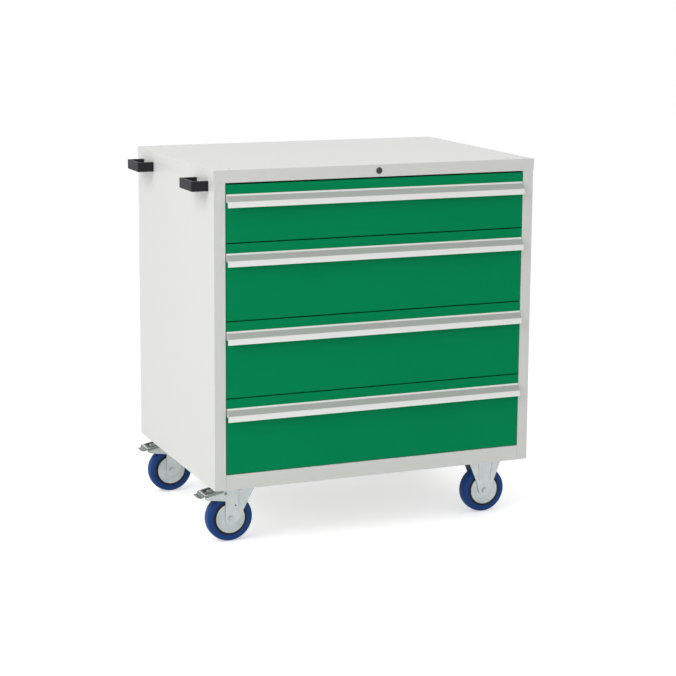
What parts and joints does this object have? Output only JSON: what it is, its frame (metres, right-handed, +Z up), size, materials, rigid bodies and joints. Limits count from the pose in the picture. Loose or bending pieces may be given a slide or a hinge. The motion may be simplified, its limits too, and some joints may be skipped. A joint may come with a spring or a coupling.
{
  "type": "mobile drawer cabinet",
  "caption": "Steel tool cabinet on castors with full-width pull drawers, a plain steel top with corner holes, a central lock and push handles on one side.",
  "frame": {"origin": "on the floor, below the middle of the overall box", "axes": "+X to the right seen from the front, +Y to the back, +Z up; the drawers open towards -Y"},
  "size_m": [0.9466, 0.665, 0.98],
  "materials": {
    "carcass_paint": "light grey semi-gloss powder coat",
    "drawer_paint": "green semi-gloss powder coat",
    "galvanised": "bright zinc-plated sheet",
    "pull_aluminium": "satin anodised extrusion",
    "label_plastic": "grey card under a clear strip",
    "black_plastic": "fine-textured black plastic",
    "lock_black": "black lock face",
    "bolt_zinc": "zinc-plated fasteners",
    "castor_zinc": "zinc-plated pressed steel",
    "tyre_blue": "blue elastic rubber",
    "core_black": "black nylon wheel centre"
  },
  "bodies": {
    "cabinet": {"top_cover": "carcass_paint", "left_side": "carcass_paint", "right_side": "carcass_paint", "back_panel": "carcass_paint", "base_tray": "carcass_paint", "castor_channels": "galvanised", "slide_uprights": "galvanised", "cabinet_runners": "galvanised", "lock_housing": "castor_zinc", "push_handle_front": "black_plastic", "push_handle_rear": "black_plastic", "handle_screws": "bolt_zinc", "swivel_castor_plates": "castor_zinc", "fixed_castor_forks": "castor_zinc", "castor_bolts": "bolt_zinc", "fixed_castor_axles": "bolt_zinc", "fixed_castor_guards": "castor_zinc"},
    "lock_turn": {"lock_barrel": "lock_black", "lock_rod": "galvanised"},
    "locking_bar": {"locking_bar": "galvanised"},
    "drawer_1": {"drawer_1_front": "drawer_paint", "drawer_1_box": "galvanised", "drawer_1_handle": "pull_aluminium", "drawer_1_label_strip": "label_plastic", "drawer_1_runners": "galvanised"},
    "drawer_1_slides": {"drawer_1_mid_runners": "galvanised"},
    "drawer_2": {"drawer_2_front": "drawer_paint", "drawer_2_box": "galvanised", "drawer_2_handle": "pull_aluminium", "drawer_2_label_strip": "label_plastic", "drawer_2_runners": "galvanised"},
    "drawer_2_slides": {"drawer_2_mid_runners": "galvanised"},
    "drawer_3": {"drawer_3_front": "drawer_paint", "drawer_3_box": "galvanised", "drawer_3_handle": "pull_aluminium", "drawer_3_label_strip": "label_plastic", "drawer_3_runners": "galvanised"},
    "drawer_3_slides": {"drawer_3_mid_runners": "galvanised"},
    "drawer_4": {"drawer_4_front": "drawer_paint", "drawer_4_box": "galvanised", "drawer_4_handle": "pull_aluminium", "drawer_4_label_strip": "label_plastic", "drawer_4_runners": "galvanised"},
    "drawer_4_slides": {"drawer_4_mid_runners": "galvanised"},
    "front_left_castor": {"front_left_fork": "castor_zinc", "front_left_axle": "bolt_zinc", "front_left_guards": "castor_zinc"},
    "front_left_wheel": {"front_left_tyre": "tyre_blue", "front_left_wheel_core": "core_black"},
    "front_left_brake": {"front_left_brake_pedal": "castor_zinc"},
    "rear_left_castor": {"rear_left_fork": "castor_zinc", "rear_left_axle": "bolt_zinc", "rear_left_guards": "castor_zinc"},
    "rear_left_wheel": {"rear_left_tyre": "tyre_blue", "rear_left_wheel_core": "core_black"},
    "rear_left_brake": {"rear_left_brake_pedal": "castor_zinc"},
    "front_right_wheel": {"front_right_tyre": "tyre_blue", "front_right_wheel_core": "core_black"},
    "rear_right_wheel": {"rear_right_tyre": "tyre_blue", "rear_right_wheel_core": "core_black"}
  },
  "joints": [
    {"name": "lock_turn", "type": "hinge", "parent": "cabinet", "child": "lock_turn", "pos_m": [0.02175, -0.3175, 0.964], "axis": [0, -1, 0], "range_deg": [0, 90]},
    {"name": "locking_bar_lift", "type": "slide", "parent": "cabinet", "child": "locking_bar", "axis": [0, 0, 1], "range_m": [0, 0.007]},
    {"name": "drawer_1_slide", "type": "slide", "parent": "cabinet", "child": "drawer_1", "axis": [0, -1, 0], "range_m": [0, 0.56]},
    {"name": "drawer_1_slides_run", "type": "slide", "parent": "cabinet", "child": "drawer_1_slides", "axis": [0, -1, 0], "range_m": [0, 0.28]},
    {"name": "drawer_2_slide", "type": "slide", "parent": "cabinet", "child": "drawer_2", "axis": [0, -1, 0], "range_m": [0, 0.56]},
    {"name": "drawer_2_slides_run", "type": "slide", "parent": "cabinet", "child": "drawer_2_slides", "axis": [0, -1, 0], "range_m": [0, 0.28]},
    {"name": "drawer_3_slide", "type": "slide", "parent": "cabinet", "child": "drawer_3", "axis": [0, -1, 0], "range_m": [0, 0.56]},
    {"name": "drawer_3_slides_run", "type": "slide", "parent": "cabinet", "child": "drawer_3_slides", "axis": [0, -1, 0], "range_m": [0, 0.28]},
    {"name": "drawer_4_slide", "type": "slide", "parent": "cabinet", "child": "drawer_4", "axis": [0, -1, 0], "range_m": [0, 0.56]},
    {"name": "drawer_4_slides_run", "type": "slide", "parent": "cabinet", "child": "drawer_4_slides", "axis": [0, -1, 0], "range_m": [0, 0.28]},
    {"name": "front_left_swivel", "type": "hinge", "parent": "cabinet", "child": "front_left_castor", "pos_m": [-0.32825, -0.2445, 0.148], "axis": [0, 0, 1], "continuous": true},
    {"name": "front_left_roll", "type": "hinge", "parent": "front_left_castor", "child": "front_left_wheel", "pos_m": [-0.36675, -0.2445, 0.0625], "axis": [0, 1, 0], "continuous": true},
    {"name": "front_left_brake_pedal_turn", "type": "hinge", "parent": "front_left_castor", "child": "front_left_brake", "pos_m": [-0.38125, -0.2445, 0.131], "axis": [0, 1, 0], "range_deg": [0, 10]},
    {"name": "rear_left_swivel", "type": "hinge", "parent": "cabinet", "child": "rear_left_castor", "pos_m": [-0.32825, 0.2595, 0.148], "axis": [0, 0, 1], "continuous": true},
    {"name": "rear_left_roll", "type": "hinge", "parent": "rear_left_castor", "child": "rear_left_wheel", "pos_m": [-0.36675, 0.2595, 0.0625], "axis": [0, 1, 0], "continuous": true},
    {"name": "rear_left_brake_pedal_turn", "type": "hinge", "parent": "rear_left_castor", "child": "rear_left_brake", "pos_m": [-0.38125, 0.2595, 0.131], "axis": [0, 1, 0], "range_deg": [0, 10]},
    {"name": "front_right_roll", "type": "hinge", "parent": "cabinet", "child": "front_right_wheel", "pos_m": [0.37175, -0.2445, 0.0625], "axis": [0, 1, 0], "continuous": true},
    {"name": "rear_right_roll", "type": "hinge", "parent": "cabinet", "child": "rear_right_wheel", "pos_m": [0.37175, 0.2595, 0.0625], "axis": [0, 1, 0], "continuous": true}
  ],
  "couplings": [
    {"joint": "lock_turn", "follows": "locking_bar_lift", "rad_per_m": 224.4},
    {"joint": "drawer_1_slides_run", "follows": "drawer_1_slide", "ratio": 0.5},
    {"joint": "drawer_2_slides_run", "follows": "drawer_2_slide", "ratio": 0.5},
    {"joint": "drawer_3_slides_run", "follows": "drawer_3_slide", "ratio": 0.5},
    {"joint": "drawer_4_slides_run", "follows": "drawer_4_slide", "ratio": 0.5}
  ]
}
